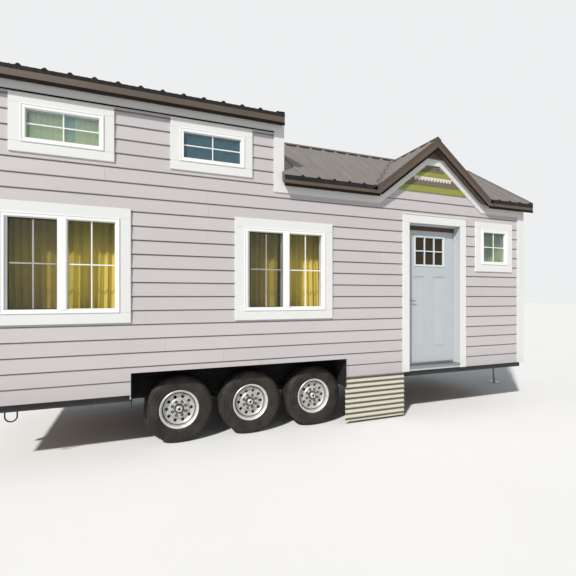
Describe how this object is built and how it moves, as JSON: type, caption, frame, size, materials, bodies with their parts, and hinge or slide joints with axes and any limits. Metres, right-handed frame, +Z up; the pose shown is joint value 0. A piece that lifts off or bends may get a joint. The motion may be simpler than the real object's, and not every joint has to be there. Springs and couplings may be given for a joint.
{
  "type": "tiny house on wheels",
  "caption": "Tiny house on a long trailer, with lap siding, a raised loft roof, a small gable over its entry door, side windows and a hitch tongue.",
  "frame": {"origin": "middle of the whole length and width, on the ground under the wheels", "axes": "+X along the house to the hitch, -Y out of the door side, +Z up"},
  "size_m": [8.805, 2.59, 4.13],
  "materials": {
    "frame_steel": "satin black paint",
    "coupler_steel": "satin black paint",
    "jack_steel": "zinc plated",
    "siding": "matt lilac-grey paint on lap siding",
    "gable_siding": "matt lilac-grey paint with green and brown bands",
    "floor_wood": "satin varnish",
    "roof_metal": "satin dark brown standing ribs",
    "white_trim": "satin white paint",
    "window_frame": "satin white",
    "glass": "clear",
    "curtain": "woven olive cloth",
    "rod": "satin dark bronze",
    "door_paint": "satin pale blue-grey paint",
    "door_metal": "satin nickel",
    "skirt_metal": "galvanised corrugated sheet",
    "well_metal": "mill finish",
    "rim_metal": "silver paint",
    "tyre": "matt black rubber"
  },
  "bodies": {
    "house": {"frame_rails": "frame_steel", "cross_members": "frame_steel", "tie_rings": "frame_steel", "tongue_rails": "frame_steel", "hitch_coupler": "coupler_steel", "tongue_jack": "jack_steel", "axle_beams": "frame_steel", "leaf_springs": "frame_steel", "wheel_wells": "well_metal", "main_floor": "floor_wood", "loft_floor": "floor_wood", "wall_feet": "siding", "front_wall": "siding", "front_wall_right": "siding", "front_gable_wall": "gable_siding", "back_wall": "siding", "loft_walls": "siding", "end_walls": "siding", "loft_side_wall": "siding", "loft_roof_front": "roof_metal", "loft_roof_back": "roof_metal", "low_roof_front": "roof_metal", "low_roof_back": "roof_metal", "entry_roof": "roof_metal", "ridge_caps": "roof_metal", "roof_ribs": "roof_metal", "trim_boards": "white_trim", "front_windows": "window_frame", "back_windows": "window_frame", "window_glass": "glass", "curtains": "curtain", "curtain_rods": "rod", "door_frame": "white_trim", "door_hinges": "door_metal", "skirt_panel": "skirt_metal"},
    "door": {"door_leaf": "door_paint", "door_glass": "glass", "door_hardware": "door_metal"},
    "front_left_wheel": {"front_left_rim": "rim_metal", "front_left_tyre": "tyre"},
    "front_middle_wheel": {"front_middle_rim": "rim_metal", "front_middle_tyre": "tyre"},
    "front_right_wheel": {"front_right_rim": "rim_metal", "front_right_tyre": "tyre"},
    "back_left_wheel": {"back_left_rim": "rim_metal", "back_left_tyre": "tyre"},
    "back_middle_wheel": {"back_middle_rim": "rim_metal", "back_middle_tyre": "tyre"},
    "back_right_wheel": {"back_right_rim": "rim_metal", "back_right_tyre": "tyre"}
  },
  "joints": [
    {"name": "door_hinge", "type": "hinge", "parent": "house", "child": "door", "pos_m": [1.7905, -1.023, 1.728], "axis": [0, 0, -1], "range_deg": [0, 105]},
    {"name": "front_left_spin", "type": "hinge", "parent": "house", "child": "front_left_wheel", "pos_m": [-2.2625, -0.9275, 0.391], "axis": [0, 1, 0], "continuous": true},
    {"name": "front_middle_spin", "type": "hinge", "parent": "house", "child": "front_middle_wheel", "pos_m": [-1.4045, -0.9275, 0.391], "axis": [0, 1, 0], "continuous": true},
    {"name": "front_right_spin", "type": "hinge", "parent": "house", "child": "front_right_wheel", "pos_m": [-0.5465, -0.9275, 0.391], "axis": [0, 1, 0], "continuous": true},
    {"name": "back_left_spin", "type": "hinge", "parent": "house", "child": "back_left_wheel", "pos_m": [-2.2625, 0.9275, 0.391], "axis": [0, 1, 0], "continuous": true},
    {"name": "back_middle_spin", "type": "hinge", "parent": "house", "child": "back_middle_wheel", "pos_m": [-1.4045, 0.9275, 0.391], "axis": [0, 1, 0], "continuous": true},
    {"name": "back_right_spin", "type": "hinge", "parent": "house", "child": "back_right_wheel", "pos_m": [-0.5465, 0.9275, 0.391], "axis": [0, 1, 0], "continuous": true}
  ]
}
